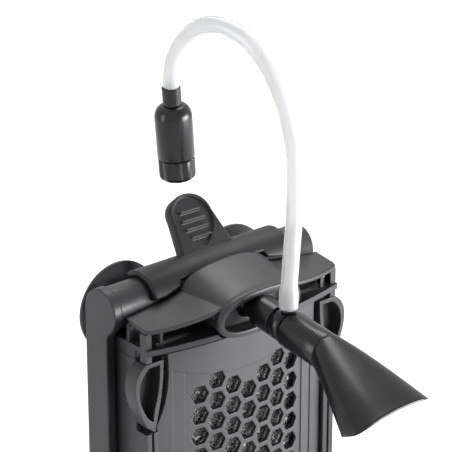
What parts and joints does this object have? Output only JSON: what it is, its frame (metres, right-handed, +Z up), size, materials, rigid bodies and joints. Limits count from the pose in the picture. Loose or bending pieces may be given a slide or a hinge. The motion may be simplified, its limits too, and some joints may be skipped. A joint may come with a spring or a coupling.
{
  "type": "internal aquarium filter",
  "caption": "Slim internal aquarium power filter with suction-cup bracket, release lever, hinged honeycomb front, swivelling wide-jet nozzle and air hose with valve.",
  "frame": {"origin": "underside of the container, straight below the impeller's axis", "axes": "+Z up, -Y towards the front, +X to the right seen from the front"},
  "size_m": [0.0998, 0.1129, 0.2844],
  "materials": {
    "matt_black": "fine moulded texture, satin",
    "gloss_black": "polished mould",
    "inner_plastic": "plain moulded",
    "cup_rubber": "smooth soft vinyl",
    "seal_rubber": "plain",
    "foam": "open-cell filter foam",
    "steel": "plain",
    "ceramic": "ground ceramic",
    "magnet": "moulded ferrite",
    "copper": "enamelled wire",
    "clear_hose": "clear soft hose"
  },
  "bodies": {
    "bracket": {"wall_bracket": "matt_black", "suction_cup_upper_left": "cup_rubber", "suction_cup_upper_right": "cup_rubber", "suction_cup_lower_left": "cup_rubber", "suction_cup_lower_right": "cup_rubber"},
    "lever": {"release_lever": "matt_black"},
    "filter": {"container_shell": "matt_black", "foam_block": "foam", "head_deck": "matt_black", "head_cover": "matt_black", "outlet_socket": "inner_plastic", "pump_cover": "inner_plastic", "pump_seal": "seal_rubber", "motor_housing": "inner_plastic", "motor_end_cap": "inner_plastic", "stator_core": "steel", "coil_winding": "copper", "bearing_lower": "seal_rubber", "bearing_upper": "seal_rubber", "impeller_shaft": "ceramic", "cable_gland": "seal_rubber", "hinge_pins": "steel"},
    "impeller": {"magnet_rotor": "magnet", "impeller_wheel": "inner_plastic"},
    "grille": {"front_grille": "matt_black"},
    "clip_l": {"clip_left": "matt_black"},
    "clip_r": {"clip_right": "matt_black"},
    "pipe": {"outlet_pipe": "gloss_black"},
    "nozzle": {"swivel_collar": "gloss_black", "jet_nozzle": "gloss_black", "air_nipple": "gloss_black", "air_hose": "clear_hose", "valve_sleeve": "gloss_black", "valve_body": "gloss_black"},
    "knob": {"valve_knob": "gloss_black"}
  },
  "joints": [
    {"name": "lever_release", "type": "hinge", "parent": "bracket", "child": "lever", "pos_m": [0, 0.0067, 0.182], "axis": [-1, 0, 0], "range_deg": [0, 12], "stiffness_Nm_per_rad": 0.15},
    {"name": "filter_pull", "type": "slide", "parent": "bracket", "child": "filter", "axis": [0, -1, 0], "range_m": [0, 0.03]},
    {"name": "grille_open", "type": "hinge", "parent": "filter", "child": "grille", "pos_m": [0, -0.011, 0.008], "axis": [1, 0, 0], "range_deg": [0, 60]},
    {"name": "clip_left_squeeze", "type": "slide", "parent": "filter", "child": "clip_l", "axis": [1, 0, 0], "range_m": [0, 0.0018], "stiffness_N_per_m": 1500},
    {"name": "clip_right_squeeze", "type": "slide", "parent": "filter", "child": "clip_r", "axis": [-1, 0, 0], "range_m": [0, 0.0018], "stiffness_N_per_m": 1500},
    {"name": "outlet_swing", "type": "hinge", "parent": "filter", "child": "pipe", "pos_m": [0, -0.014, 0.17934], "axis": [0, 0, 1], "range_deg": [-20, 20]},
    {"name": "nozzle_turn", "type": "hinge", "parent": "pipe", "child": "nozzle", "pos_m": [0, -0.035, 0.1768], "axis": [0, -0.9928, -0.1201], "range_deg": [-15, 15]},
    {"name": "valve_turn", "type": "hinge", "parent": "nozzle", "child": "knob", "pos_m": [-0.00765, 0.015, 0.22459], "axis": [0.0785, 0, -0.9969], "range_deg": [0, 270]},
    {"name": "impeller_spin", "type": "hinge", "parent": "filter", "child": "impeller", "pos_m": [0, 0, 0.15], "axis": [0, 0, 1], "continuous": true}
  ]
}
